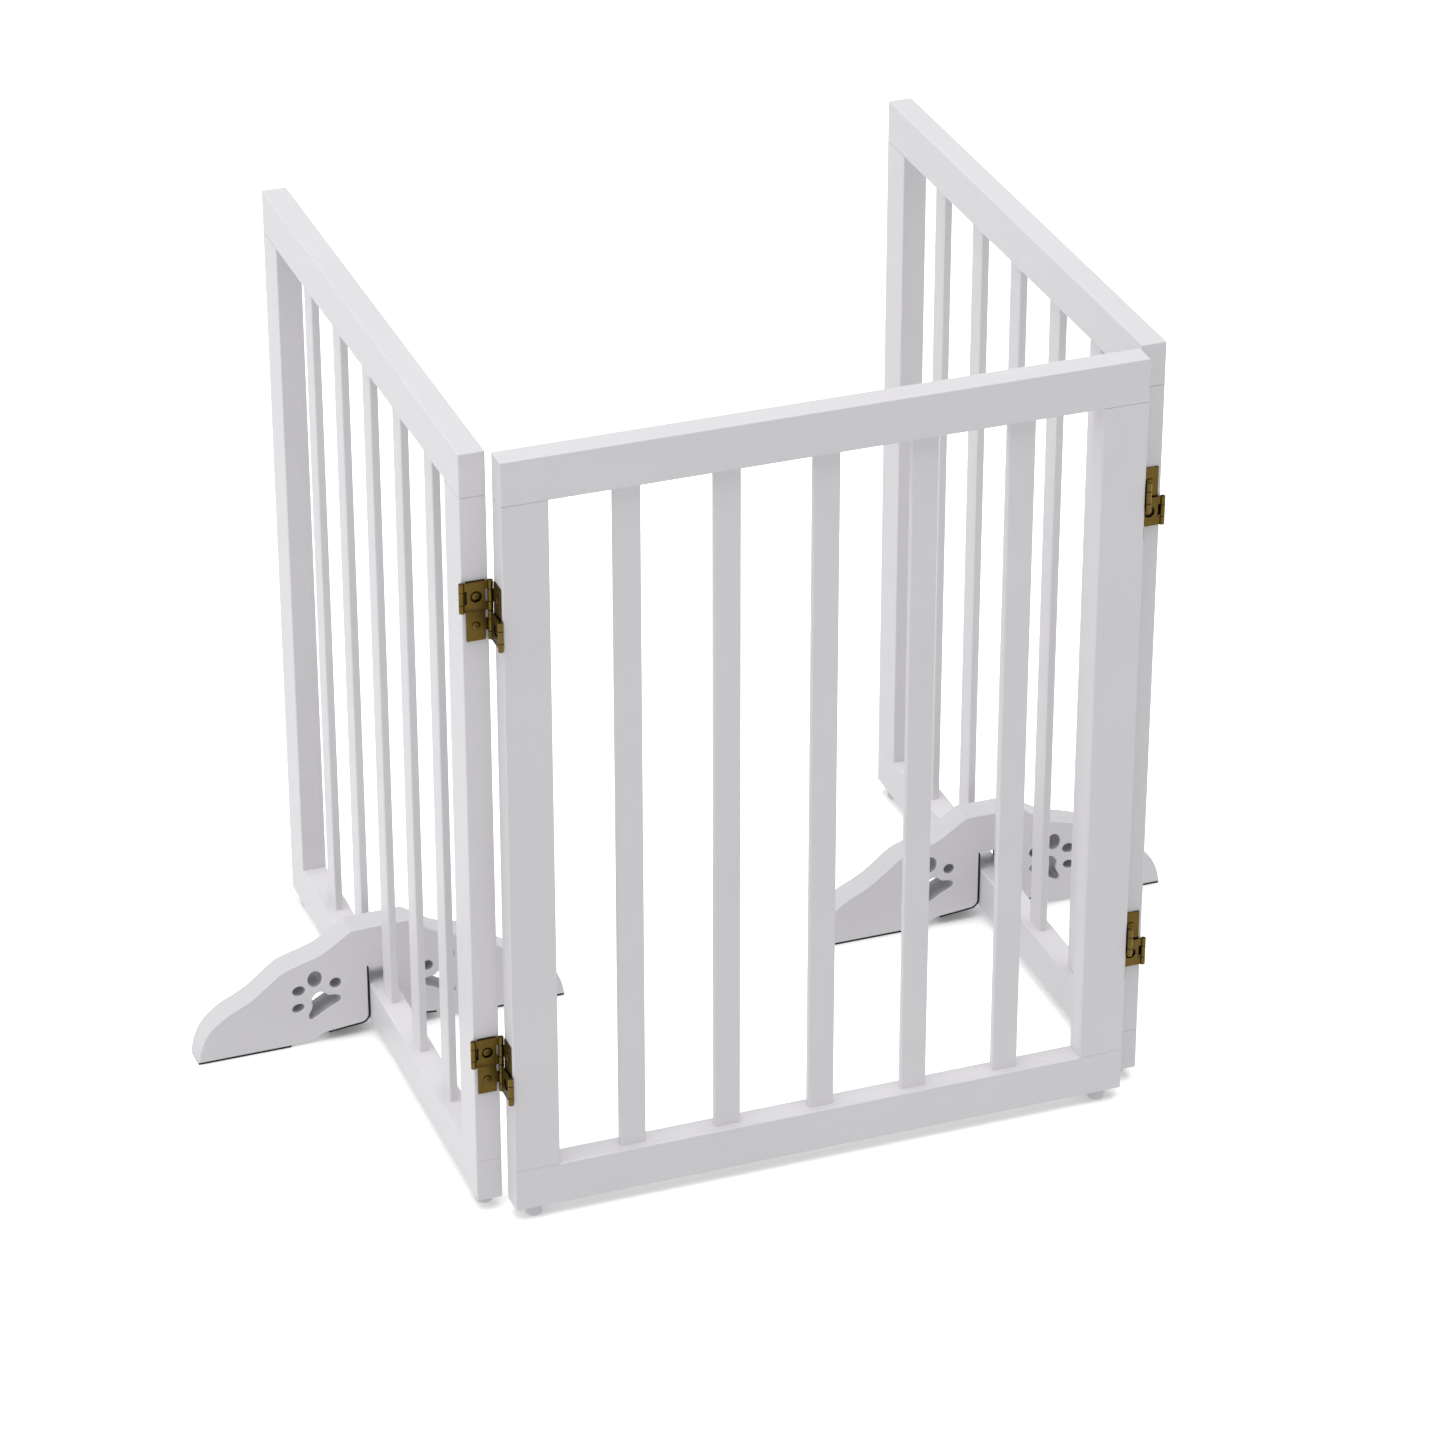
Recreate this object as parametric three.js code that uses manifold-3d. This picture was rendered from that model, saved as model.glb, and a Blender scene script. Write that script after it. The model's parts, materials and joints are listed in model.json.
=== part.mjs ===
// A free-standing folding pet gate: three slatted wooden panels, joined by double-action
// screen hinges, with a slotted support foot pushed down over each side panel's bottom rail.
// Millimetres, +Z up. The origin is on the floor, under the middle of the whole gate.
// The middle panel lies along X, and both side panels stand at right angles to it, towards +Y.
import * as THREE from 'three';
import { mergeVertices } from 'three/addons/utils/BufferGeometryUtils.js';
import Module from 'manifold-3d';

const wasm = await Module();
wasm.setup();

// ---------------------------------------------------------------- driving dimensions

// Panels
const PANEL_W = 475.5;
const PANEL_T = 19.1;
const FRAME_H = 600;
const RAIL_H = 33.5;
const STILE_W = 34;
const SIDE_FOLD = Math.PI / 2; // how far the side panels are folded back from straight

// Slats, let into a mortise in each rail
const SLAT_COUNT = 5;
const SLAT_PITCH = 72.8;
const SLAT_W = 19.4;
const SLAT_T = 6.1;
const MORTISE_DEPTH = 9;

// Dowels that hold the stiles between the rails: glued in, so each is one piece with its stile
const DOWEL_D = 6;
const DOWEL_LENGTH = 12;
const DOWEL_SPACING = 17;

// Gaps
const FIT = 0.3; // between pieces that touch
const END_FIT = 0.5; // extra room at the bottom of a mortise or a dowel hole

// Glides, knocked into the underside of the bottom rails
const GLIDE_D = 12.7;
const GLIDE_H = 10;
const GLIDE_EDGE = 1.6;
const GLIDE_INSET = 16;
const GLIDE_STEM_D = 3;
const GLIDE_STEM_LENGTH = 12;

// Double-action hinges: two leaves on the panel ends and two links between their pins
const HINGE_GAP = 4.6; // between the panel ends when the gate is straight
const PIN_OUTSET = 0.8; // pin centre outside the panel's face
const HINGE_HEIGHTS = { upper: 491, lower: 125 };
const LEAF_H = 46;
const LEAF_W = 13.8;
const LEAF_T = 0.9;
const LINK_H = 22.3;
const LINK_T = 0.9;
const KNUCKLE_R = 2;
const LEAF_KNUCKLE_H = 9;
const KNUCKLE_GAP = 0.5;
const KNUCKLE_TAB = 1; // how far a leaf's knuckle tab runs into its plate
const PIN_RECESS = 1; // the pins stop this far inside the ends of the knuckles
const LINK_WINDOW_GAP = 1.7; // between a leaf's knuckle and the plate of the link
const PIN_R = 1;
const PIN_HOLE_R = 1.25;
const SCREW_HOLE_R = 1.8;
const LINK_HOLE_R = 4.3; // clears the head of the leaf's screw

// Support feet
const FOOT_PLACES = { left: 34.7, right: 30.9 }; // from a side panel's middle, towards its free end
const FOOT_T = 22;
const FOOT_HALF_LENGTH = 146;
const FOOT_TOP = 93.3;
const FOOT_TOP_HALF = 22.5;
const FOOT_BASE = 1.3; // wood above the floor, where the pad is
const NOTCH_HALF = 11.2;
const NOTCH_TOP = 59;
const NOTCH_CORNER_R = 6.5;
const ARCH_START = 60;
const ARCH_END = 43;
const ARCH_BASE = 7.75; // wood above the floor at the arch's outer end
const ARCH_SLOPE = THREE.MathUtils.degToRad(5.4); // rise of the arch towards the notch
const STRIP_T = 1;
const STRIP_GAP = 0.25;
const STRIP_SIDE = 0.4; // the strips stop this far short of the foot's faces
const PAD_END = 73;
const LINER_TOP_GAP = 1; // the liners stop this far below the top of the notch

// Facets and curve steps
const KNUCKLE_SIDES = 12;
const PIN_SIDES = 8;
const HOLE_SIDES = 8;
const LINK_HOLE_SIDES = 16;
const GLIDE_SIDES = 14;
const GLIDE_EDGE_STEPS = 2;
const NOTCH_CORNER_STEPS = 5;
const ARCH_STEPS = 7;
const TOE_STEPS = 12;
const CUT_PAST = 1; // a cutting tool reaches this far past what it cuts

// ---------------------------------------------------------------- derived dimensions

const FRAME_TOP = GLIDE_H + FRAME_H;
const STILE_H = FRAME_H - 2 * RAIL_H;
const SLAT_LENGTH = STILE_H + 2 * MORTISE_DEPTH;
const AXIS_X = (PANEL_W + HINGE_GAP) / 2; // fold axis from the middle of a panel
const AXIS_Y = PANEL_T / 2 + PIN_OUTSET;
const LEAF_FACE = HINGE_GAP / 2 - FIT - LEAF_T;
const MIDDLE_PANEL_Y = -(PANEL_W + HINGE_GAP / 2 - KNUCKLE_R) / 2;

// ---------------------------------------------------------------- finishes

const finish = (color, roughness, metalness) => () =>
  new THREE.MeshStandardMaterial({ color, roughness, metalness });
const paint = finish(0xe8e6e9, 0.45, 0);
const plastic = finish(0xdddbde, 0.5, 0);
const brass = finish(0x6a5524, 0.42, 0.85);
const rubber = finish(0x161616, 0.85, 0);

// ---------------------------------------------------------------- solids

function toSolid(geometry) {
  const bare = geometry.index ? geometry.toNonIndexed() : geometry.clone();
  bare.deleteAttribute('normal');
  bare.deleteAttribute('uv');
  const merged = mergeVertices(bare, 1e-4);
  return new wasm.Manifold(new wasm.Mesh({
    numProp: 3,
    vertProperties: new Float32Array(merged.attributes.position.array),
    triVerts: new Uint32Array(merged.index.array),
  }));
}

function toGeometry(solid) {
  const mesh = solid.getMesh();
  const geometry = new THREE.BufferGeometry();
  geometry.setAttribute('position', new THREE.BufferAttribute(mesh.vertProperties, 3));
  geometry.setIndex(new THREE.BufferAttribute(mesh.triVerts, 1));
  geometry.computeVertexNormals();
  return geometry;
}

const block = (low, high) => new THREE.BoxGeometry(
  high[0] - low[0], high[1] - low[1], high[2] - low[2],
).translate((low[0] + high[0]) / 2, (low[1] + high[1]) / 2, (low[2] + high[2]) / 2);

const upright = (radius, low, high, sides, x = 0, y = 0) =>
  new THREE.CylinderGeometry(radius, radius, high - low, sides)
    .rotateX(Math.PI / 2)
    .translate(x, y, (low + high) / 2);

const join = (...geometries) =>
  toGeometry(geometries.map(toSolid).reduce((whole, piece) => whole.add(piece)));

const cut = (geometry, tools) =>
  toGeometry(tools.map(toSolid).reduce((left, tool) => left.subtract(tool), toSolid(geometry)));

function named(name, geometry, material) {
  const mesh = new THREE.Mesh(geometry, material());
  mesh.name = name;
  return mesh;
}

// ---------------------------------------------------------------- a panel's wood

// A panel's own frame: X along the panel, Y through it with the front face at -Y, Z from the floor.

const slatPlaces = Array.from(
  { length: SLAT_COUNT },
  (_, i) => (i - (SLAT_COUNT - 1) / 2) * SLAT_PITCH,
);
const stilePlaces = [-1, 1].map((end) => end * (PANEL_W - STILE_W) / 2);
const dowelPlaces = [-1, 1].map((end) => end * DOWEL_SPACING / 2);
const glidePlaces = [-1, 1].map((end) => end * (PANEL_W / 2 - GLIDE_INSET));

// A rail from z = low to z = high, as a body and the tools that cut its mortises and dowel
// holes. They open in the face at z = inner and run into the wood along `depth`, up or down.
function railParts(low, high, inner, depth) {
  const face = inner - depth * FIT;
  const halfW = SLAT_W / 2 + FIT;
  const halfT = SLAT_T / 2 + FIT;
  const span = (reach) => [face, inner + depth * reach].sort((a, b) => a - b);
  const mortise = span(MORTISE_DEPTH + END_FIT);
  const hole = span(DOWEL_LENGTH + END_FIT);
  const tools = slatPlaces.map((x) =>
    block([x - halfW, -halfT, mortise[0]], [x + halfW, halfT, mortise[1]]));
  for (const stile of stilePlaces) {
    for (const dowel of dowelPlaces) {
      tools.push(upright(DOWEL_D / 2 + FIT, hole[0], hole[1], HOLE_SIDES, stile + dowel));
    }
  }
  return { body: block([-PANEL_W / 2, -PANEL_T / 2, low], [PANEL_W / 2, PANEL_T / 2, high]), tools };
}

function topRail() {
  const { body, tools } = railParts(FRAME_TOP - RAIL_H, FRAME_TOP, FRAME_TOP - RAIL_H, 1);
  return cut(body, tools);
}

function bottomRail() {
  const { body, tools } = railParts(GLIDE_H, GLIDE_H + RAIL_H, GLIDE_H + RAIL_H, -1);
  const holeTop = GLIDE_H + GLIDE_STEM_LENGTH + END_FIT;
  for (const x of glidePlaces) {
    tools.push(upright(GLIDE_STEM_D / 2 + FIT, GLIDE_H - FIT, holeTop, HOLE_SIDES, x));
  }
  return cut(body, tools);
}

function stile(x) {
  const low = GLIDE_H + RAIL_H + FIT;
  const high = FRAME_TOP - RAIL_H - FIT;
  const pieces = [block([x - STILE_W / 2, -PANEL_T / 2, low], [x + STILE_W / 2, PANEL_T / 2, high])];
  for (const dowel of dowelPlaces) {
    pieces.push(upright(DOWEL_D / 2, low - DOWEL_LENGTH, high + DOWEL_LENGTH, HOLE_SIDES, x + dowel));
  }
  return join(...pieces);
}

function slat(x) {
  const low = GLIDE_H + RAIL_H - MORTISE_DEPTH;
  return block(
    [x - SLAT_W / 2, -SLAT_T / 2, low],
    [x + SLAT_W / 2, SLAT_T / 2, low + SLAT_LENGTH],
  );
}

function glide(x) {
  const radius = GLIDE_D / 2;
  const top = GLIDE_H - FIT;
  const stemTop = GLIDE_H + GLIDE_STEM_LENGTH;
  const profile = [[0, 0], [radius - GLIDE_EDGE, 0]];
  for (let step = 1; step <= GLIDE_EDGE_STEPS; step += 1) {
    const angle = (step / GLIDE_EDGE_STEPS) * Math.PI / 2;
    profile.push([
      radius - GLIDE_EDGE + GLIDE_EDGE * Math.sin(angle),
      GLIDE_EDGE - GLIDE_EDGE * Math.cos(angle),
    ]);
  }
  profile.push([radius, top], [GLIDE_STEM_D / 2, top], [GLIDE_STEM_D / 2, stemTop], [0, stemTop]);
  return new THREE.LatheGeometry(profile.map(([r, z]) => new THREE.Vector2(r, z)), GLIDE_SIDES)
    .rotateX(Math.PI / 2)
    .translate(x, 0, 0);
}

// `stileNames` are the names of the stiles at the -X and +X ends.
function panelWood(panel, stileNames) {
  const group = new THREE.Group();
  group.add(named(`${panel}_top_rail`, topRail(), paint));
  group.add(named(`${panel}_bottom_rail`, bottomRail(), paint));
  stilePlaces.forEach((x, i) => group.add(named(`${panel}_${stileNames[i]}_stile`, stile(x), paint)));
  slatPlaces.forEach((x, i) => group.add(named(`${panel}_slat_${i + 1}`, slat(x), paint)));
  glidePlaces.forEach((x, i) => group.add(named(`${panel}_glide_${i + 1}`, glide(x), plastic)));
  return group;
}

// ---------------------------------------------------------------- hinges

// A hinge's own frame: X across the gap between the panel ends, Y from front to back, Z from
// the middle of the leaf or of the link. The pins stand at y = -AXIS_Y and y = AXIS_Y.

// A leaf for a panel end on the +X side. Its rear knuckle is in the hinge's upper half and its
// front knuckle in the lower half, so the leaf across the gap is the same piece turned round.
function leafGeometry() {
  const plate = block(
    [LEAF_FACE, -LEAF_W / 2, -LEAF_H / 2],
    [LEAF_FACE + LEAF_T, LEAF_W / 2, LEAF_H / 2],
  );
  const pieces = [plate];
  const holes = [];
  for (const end of [-1, 1]) {
    const y = end * AXIS_Y;
    const low = end * LEAF_H / 4 - LEAF_KNUCKLE_H / 2;
    const high = low + LEAF_KNUCKLE_H;
    const tabY = [end * (LEAF_W / 2 - KNUCKLE_TAB), y].sort((a, b) => a - b);
    pieces.push(block([LEAF_FACE, tabY[0], low], [KNUCKLE_R, tabY[1], high]));
    pieces.push(upright(KNUCKLE_R, low, high, KNUCKLE_SIDES, 0, y));
    holes.push(upright(PIN_HOLE_R, low - CUT_PAST, high + CUT_PAST, PIN_SIDES, 0, y));
    holes.push(new THREE.CylinderGeometry(SCREW_HOLE_R, SCREW_HOLE_R, LEAF_T + 2 * CUT_PAST, HOLE_SIDES)
      .rotateZ(Math.PI / 2)
      .translate(LEAF_FACE + LEAF_T / 2, 0, end * LEAF_H / 4));
  }
  return cut(join(...pieces), holes);
}

// A link: a plate with two outer knuckles round each pin, and both pins riveted in.
function linkGeometry() {
  const notch = LEAF_KNUCKLE_H / 2 + KNUCKLE_GAP;
  const plate = block([-LINK_T / 2, -AXIS_Y, -LINK_H / 2], [LINK_T / 2, AXIS_Y, LINK_H / 2]);
  const windows = [
    new THREE.CylinderGeometry(LINK_HOLE_R, LINK_HOLE_R, LINK_T + 2 * CUT_PAST, LINK_HOLE_SIDES)
      .rotateZ(Math.PI / 2),
  ];
  const pieces = [];
  for (const end of [-1, 1]) {
    const inner = end * (AXIS_Y - KNUCKLE_R - LINK_WINDOW_GAP);
    const outer = end * (AXIS_Y + CUT_PAST);
    const [near, far] = [inner, outer].sort((a, b) => a - b);
    windows.push(block([-CUT_PAST, near, -notch], [CUT_PAST, far, notch]));
    pieces.push(upright(KNUCKLE_R, notch, LINK_H / 2, KNUCKLE_SIDES, 0, end * AXIS_Y));
    pieces.push(upright(KNUCKLE_R, -LINK_H / 2, -notch, KNUCKLE_SIDES, 0, end * AXIS_Y));
    const pinEnd = LINK_H / 2 - PIN_RECESS;
    pieces.push(upright(PIN_R, -pinEnd, pinEnd, PIN_SIDES, 0, end * AXIS_Y));
  }
  return join(cut(plate, windows), ...pieces);
}

const leafShape = leafGeometry();
const linkShape = linkGeometry();

// The hinge pieces on one end of a panel. Side `a` is the left-hand panel's +X end, with its
// link in the upper half, and side `b` is the right-hand panel's -X end, with its link below.
function addHingePieces(panel, corner, side) {
  const end = side === 'a' ? 1 : -1;
  for (const [level, height] of Object.entries(HINGE_HEIGHTS)) {
    const leaf = named(`${corner}_${level}_hinge_leaf_${side}`, leafShape.clone(), brass);
    leaf.position.set(end * AXIS_X, 0, height);
    leaf.rotation.z = side === 'a' ? Math.PI : 0;
    const link = named(`${corner}_${level}_hinge_link_${side}`, linkShape.clone(), brass);
    link.position.set(end * AXIS_X, 0, height + end * LEAF_H / 4);
    panel.add(leaf, link);
  }
}

// ---------------------------------------------------------------- support feet

// A foot's own outline: x along the foot from its middle, y up from the floor.

// The top edge from the tip to the shoulder: a rounded toe and two long ogee waves.
const footTop = new THREE.SplineCurve([
  [FOOT_HALF_LENGTH, FOOT_BASE], [144.3, 10.5], [141, 19.4], [136, 27.2], [130, 32.9],
  [122, 38.6], [112, 43.5], [101, 49.6], [90, 58.2], [79, 66.7], [69, 70.6], [59, 73.5],
  [48, 77], [37, 83.4], [28.5, 89.4], [FOOT_TOP_HALF, FOOT_TOP],
].map(([x, y]) => new THREE.Vector2(x, y)));

// One paw on each half of the foot: four toes and a three-lobed pad, all cut through.
const toes = [
  { x: 66.4, y: 33.3, a: 4.7, b: 3.4, tilt: -14 },
  { x: 65.5, y: 48.2, a: 4.85, b: 4, tilt: -4 },
  { x: 52.6, y: 56.2, a: 5.5, b: 6.8, tilt: 0 },
  { x: 36.5, y: 49.7, a: 4.3, b: 4.1, tilt: 0 },
];
const pawPad = [
  [58.3, 24], [56.7, 21.5], [54.5, 22.1], [48.9, 25.2], [42.7, 28.8], [37, 31.5], [33.9, 33.2],
  [32.6, 35.6], [34.1, 38], [37.6, 39.3], [41.6, 39.7], [43.9, 41.2], [45.8, 43], [49.1, 43.9],
  [52.6, 42.5], [55.1, 39.4], [55.4, 36.5], [54.9, 33.7], [55.6, 30], [57.3, 26.9],
].map(([x, y]) => new THREE.Vector2(x, y));

// The lower edge of one half, from the tip along the floor, up the arch and into the notch.
// `inset` moves it outwards from the wood, which gives both faces of the strip that lines it.
function archEdge(inset) {
  const radius = NOTCH_CORNER_R + inset;
  const centreX = NOTCH_HALF + NOTCH_CORNER_R;
  const centreY = ARCH_BASE + (ARCH_END - centreX) * Math.tan(ARCH_SLOPE)
    + NOTCH_CORNER_R / Math.cos(ARCH_SLOPE);
  const points = [new THREE.Vector2(
    ARCH_END - inset * Math.sin(ARCH_SLOPE),
    ARCH_BASE - inset * Math.cos(ARCH_SLOPE),
  )];
  for (let step = 0; step <= NOTCH_CORNER_STEPS; step += 1) {
    const angle = ARCH_SLOPE + (step / NOTCH_CORNER_STEPS) * (Math.PI / 2 - ARCH_SLOPE);
    points.push(new THREE.Vector2(
      centreX - radius * Math.sin(angle),
      centreY - radius * Math.cos(angle),
    ));
  }
  points.push(new THREE.Vector2(NOTCH_HALF - inset, NOTCH_TOP - LINER_TOP_GAP));
  return points;
}

const toePoints = ({ x, y, a, b, tilt }) => {
  const turn = THREE.MathUtils.degToRad(tilt);
  return new THREE.EllipseCurve(x, y, a, b, 0, 2 * Math.PI, false, turn)
    .getPoints(TOE_STEPS).slice(0, -1);
};

const mirrored = (points) => points.map((p) => new THREE.Vector2(-p.x, p.y)).reverse();

// The outer edge of the whole foot, followed by the cut-outs.
function footOutlines() {
  const run = ARCH_START - ARCH_END;
  const rise = new THREE.CubicBezierCurve(
    new THREE.Vector2(ARCH_START, FOOT_BASE),
    new THREE.Vector2(ARCH_START - run / 3, FOOT_BASE),
    new THREE.Vector2(ARCH_END + run / 2, ARCH_BASE - (run / 2) * Math.tan(ARCH_SLOPE)),
    new THREE.Vector2(ARCH_END, ARCH_BASE),
  ).getPoints(ARCH_STEPS);
  const half = [
    ...footTop.getPoints(2 * (footTop.points.length - 1)).reverse(),
    ...rise,
    ...archEdge(0).slice(1, -1),
    new THREE.Vector2(NOTCH_HALF, NOTCH_TOP),
  ];
  const paw = [...toes.map(toePoints), pawPad];
  return [[...half, ...mirrored(half)], ...paw, ...paw.map(mirrored)];
}

// Outlines drawn along the foot become a board across the panel: outline x runs along Y.
const board = (outlines, thickness) => {
  const polygons = outlines.map((points) => points.map(({ x, y }) => [x, y]));
  return toGeometry(new wasm.CrossSection(polygons, 'EvenOdd').extrude(thickness))
    .translate(0, 0, -thickness / 2)
    .rotateX(Math.PI / 2)
    .rotateZ(Math.PI / 2);
};

function addFoot(panel, name, x) {
  const stripT = FOOT_T - 2 * STRIP_SIDE;
  const foot = new THREE.Group();
  foot.position.x = x;
  foot.add(named(`${name}_foot`, board(footOutlines(), FOOT_T), paint));
  const padOuter = FOOT_HALF_LENGTH - STRIP_SIDE;
  const liner = [...archEdge(STRIP_GAP), ...archEdge(STRIP_GAP + STRIP_T).reverse()];
  for (const [where, side] of [['front', -1], ['back', 1]]) {
    const [low, high] = [side * PAD_END, side * padOuter].sort((a, b) => a - b);
    const pad = block([-stripT / 2, low, 0], [stripT / 2, high, STRIP_T]);
    foot.add(named(`${name}_foot_${where}_pad`, pad, rubber));
    const outline = side > 0 ? liner : mirrored(liner);
    foot.add(named(`${name}_foot_${where}_liner`, board([outline], stripT), rubber));
  }
  panel.add(foot);
}

// ---------------------------------------------------------------- the gate

const gate = new THREE.Group();
gate.position.y = MIDDLE_PANEL_Y;

const middle = panelWood('middle', ['left', 'right']);
addHingePieces(middle, 'left', 'b');
addHingePieces(middle, 'right', 'a');
gate.add(middle);

// Each side panel turns about the rear pins of its corner. `side` is -1 on the left.
function sidePanel(name, side, stileNames, hingeSide) {
  const pivot = new THREE.Group();
  pivot.position.set(side * AXIS_X, AXIS_Y, 0);
  pivot.rotation.z = side * SIDE_FOLD;
  const panel = panelWood(name, stileNames);
  panel.position.set(side * AXIS_X, -AXIS_Y, 0);
  addHingePieces(panel, name, hingeSide);
  addFoot(panel, name, side * FOOT_PLACES[name]);
  pivot.add(panel);
  return pivot;
}

gate.add(sidePanel('left', -1, ['end', 'hinge'], 'a'));
gate.add(sidePanel('right', 1, ['hinge', 'end'], 'b'));

export default gate;
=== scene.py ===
"""A free-standing folding pet gate: the looks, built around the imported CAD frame.

Everything is in metres, in the part's own frame: +X along the middle panel, +Y towards the
free ends of the side panels, +Z up from the floor.
"""
import json
import math
import random

import bmesh
import bpy
from mathutils import Matrix, Vector


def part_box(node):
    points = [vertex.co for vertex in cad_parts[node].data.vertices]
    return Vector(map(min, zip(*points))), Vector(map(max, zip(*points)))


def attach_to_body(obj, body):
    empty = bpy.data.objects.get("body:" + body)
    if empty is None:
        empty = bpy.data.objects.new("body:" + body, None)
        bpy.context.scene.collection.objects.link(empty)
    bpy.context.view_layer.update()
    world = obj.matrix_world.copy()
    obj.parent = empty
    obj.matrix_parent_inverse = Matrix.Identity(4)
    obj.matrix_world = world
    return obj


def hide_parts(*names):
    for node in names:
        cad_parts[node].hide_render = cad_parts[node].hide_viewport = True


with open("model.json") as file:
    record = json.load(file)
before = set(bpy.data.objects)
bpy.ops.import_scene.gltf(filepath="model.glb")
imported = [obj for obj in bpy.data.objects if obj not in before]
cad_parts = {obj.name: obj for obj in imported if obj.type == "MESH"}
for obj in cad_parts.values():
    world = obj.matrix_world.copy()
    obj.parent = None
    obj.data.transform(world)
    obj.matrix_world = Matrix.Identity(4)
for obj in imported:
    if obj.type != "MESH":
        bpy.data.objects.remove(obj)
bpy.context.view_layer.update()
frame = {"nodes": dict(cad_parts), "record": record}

MM = 0.001
PANELS = ("middle", "left", "right")
BODY_OF = {
    node: body
    for body, nodes in frame["record"]["behaviour"]["bodies"].items()
    for node in nodes
}

# Rounded edges
RAIL_EDGE = 0.9 * MM
SLAT_EDGE = 1.0 * MM
FOOT_EDGE = 1.2 * MM
END_EDGE = 0.2 * MM  # the stile ends are square, with only the sharp corner taken off
GLIDE_EDGE = 1.8 * MM
STRIP_EDGE = 0.2 * MM  # the rubber pads and liners

# The double-action hinges
KNUCKLE_R = 2.0 * MM
PIN_R = 1.0 * MM
SHEET = 0.9 * MM
LEAF_W = 13.8 * MM
LEAF_KNUCKLE_H = 9.0 * MM
KNUCKLE_GAP = 0.5 * MM
KNUCKLE_REACH = 1.02 * KNUCKLE_R  # faces this close to a pin belong to its knuckles
LINK_WINDOW_GAP = 1.7 * MM
LINK_HOLE_R = 4.3 * MM
PLATE_CORNER = 0.6 * MM
METAL_EDGE = 0.13 * MM
TAB_LAP = 1.2 * MM  # how far a knuckle's tab runs back over its leaf's plate
TAB_RISE = 0.3 * MM  # straight stretch between the plate's edge and the roll
ROLL_END = 292  # degrees of the roll round the pin, which leaves a fine seam
PIN_DOME_R = 1.15 * PIN_R
PIN_DOME_H = 0.28 * MM
SCREW_HOLE_R = 1.8 * MM
SCREW_HEAD_R = 2.95 * MM
SCREW_HEAD_H = 1.0 * MM
SCREW_SHANK_R = 1.5 * MM
SCREW_SHANK_LENGTH = 3.0 * MM
SCREW_CROSS_REACH = 1.55 * MM
SCREW_CROSS_HALF_W = 0.24 * MM
# Degrees that turn the +X leaf about its hinge to the corner and side it is on
LEAF_TURN = {("left", "b"): 0, ("left", "a"): 90, ("right", "a"): 180, ("right", "b"): 90}


# ------------------------------------------------------------------ small helpers


def mesh_object(name, mesh):
    piece = bpy.data.objects.new(name, mesh)
    bpy.context.scene.collection.objects.link(piece)
    return piece


def evaluated_mesh(source):
    """The mesh of an object with its modifiers applied, or of a curve as it is filled."""
    bpy.context.view_layer.update()
    graph = bpy.context.evaluated_depsgraph_get()
    return bpy.data.meshes.new_from_object(source.evaluated_get(graph), depsgraph=graph)


def discard(*objects):
    for unwanted in objects:
        bpy.data.objects.remove(unwanted)


def shaded(mesh, angle=35):
    """The mesh shaded smooth, except over edges sharper than the angle. Flats stay flat."""
    mesh.polygons.foreach_set("use_smooth", [True] * len(mesh.polygons))
    mesh.set_sharp_from_angle(angle=math.radians(angle))
    source = mesh_object("shading", mesh)
    weighting = source.modifiers.new("flats", "WEIGHTED_NORMAL")
    weighting.keep_sharp = True
    weighting.weight = 100
    result = evaluated_mesh(source)
    discard(source)
    return result


def place(mesh, node, material, name=None):
    """Shows the mesh in place of a CAD node, on the node's own body, with the given material."""
    piece = mesh_object(name or node + "_shape", mesh)
    mesh.materials.clear()
    mesh.materials.append(material)
    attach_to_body(piece, BODY_OF[node])
    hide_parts(node)
    return piece


def attach(mesh, name, node, material):
    """Adds a piece that has no CAD node of its own, on the body of the one named, with the given
    material.
    """
    piece = mesh_object(name, mesh)
    mesh.materials.clear()
    mesh.materials.append(material)
    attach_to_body(piece, BODY_OF[node])
    return piece


def outline_solid(outlines, thickness, edge, segments=3):
    """A board cut to closed 2-D outlines, the first outside and the rest holes, with rounded
    edges. It lies in XY, centred on z = 0."""
    curve = bpy.data.curves.new("outline", "CURVE")
    curve.dimensions = "2D"
    curve.fill_mode = "BOTH"
    curve.extrude = thickness / 2 - edge
    curve.bevel_depth = edge
    curve.bevel_resolution = segments
    curve.offset = -edge
    for points in outlines:
        spline = curve.splines.new("POLY")
        spline.points.add(len(points) - 1)
        for target, (x, y) in zip(spline.points, points):
            target.co = (x, y, 0, 1)
        spline.use_cyclic_u = True
    source = mesh_object("outline", curve)
    mesh = evaluated_mesh(source)
    discard(source)
    shape = bmesh.new()
    shape.from_mesh(mesh)
    bmesh.ops.remove_doubles(shape, verts=shape.verts, dist=1e-6)
    bmesh.ops.recalc_face_normals(shape, faces=shape.faces)
    shape.to_mesh(mesh)
    shape.free()
    return mesh


def extrude_profile(points, low, high):
    """A closed XY outline swept from z = low to z = high, as a closed mesh."""
    shape = bmesh.new()
    bottom = [shape.verts.new((x, y, low)) for x, y in points]
    top = [shape.verts.new((x, y, high)) for x, y in points]
    shape.faces.new(bottom)
    shape.faces.new(top)
    count = len(points)
    for i in range(count):
        j = (i + 1) % count
        shape.faces.new((bottom[i], bottom[j], top[j], top[i]))
    bmesh.ops.recalc_face_normals(shape, faces=shape.faces)
    mesh = bpy.data.meshes.new("profile")
    shape.to_mesh(mesh)
    shape.free()
    return mesh


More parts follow.
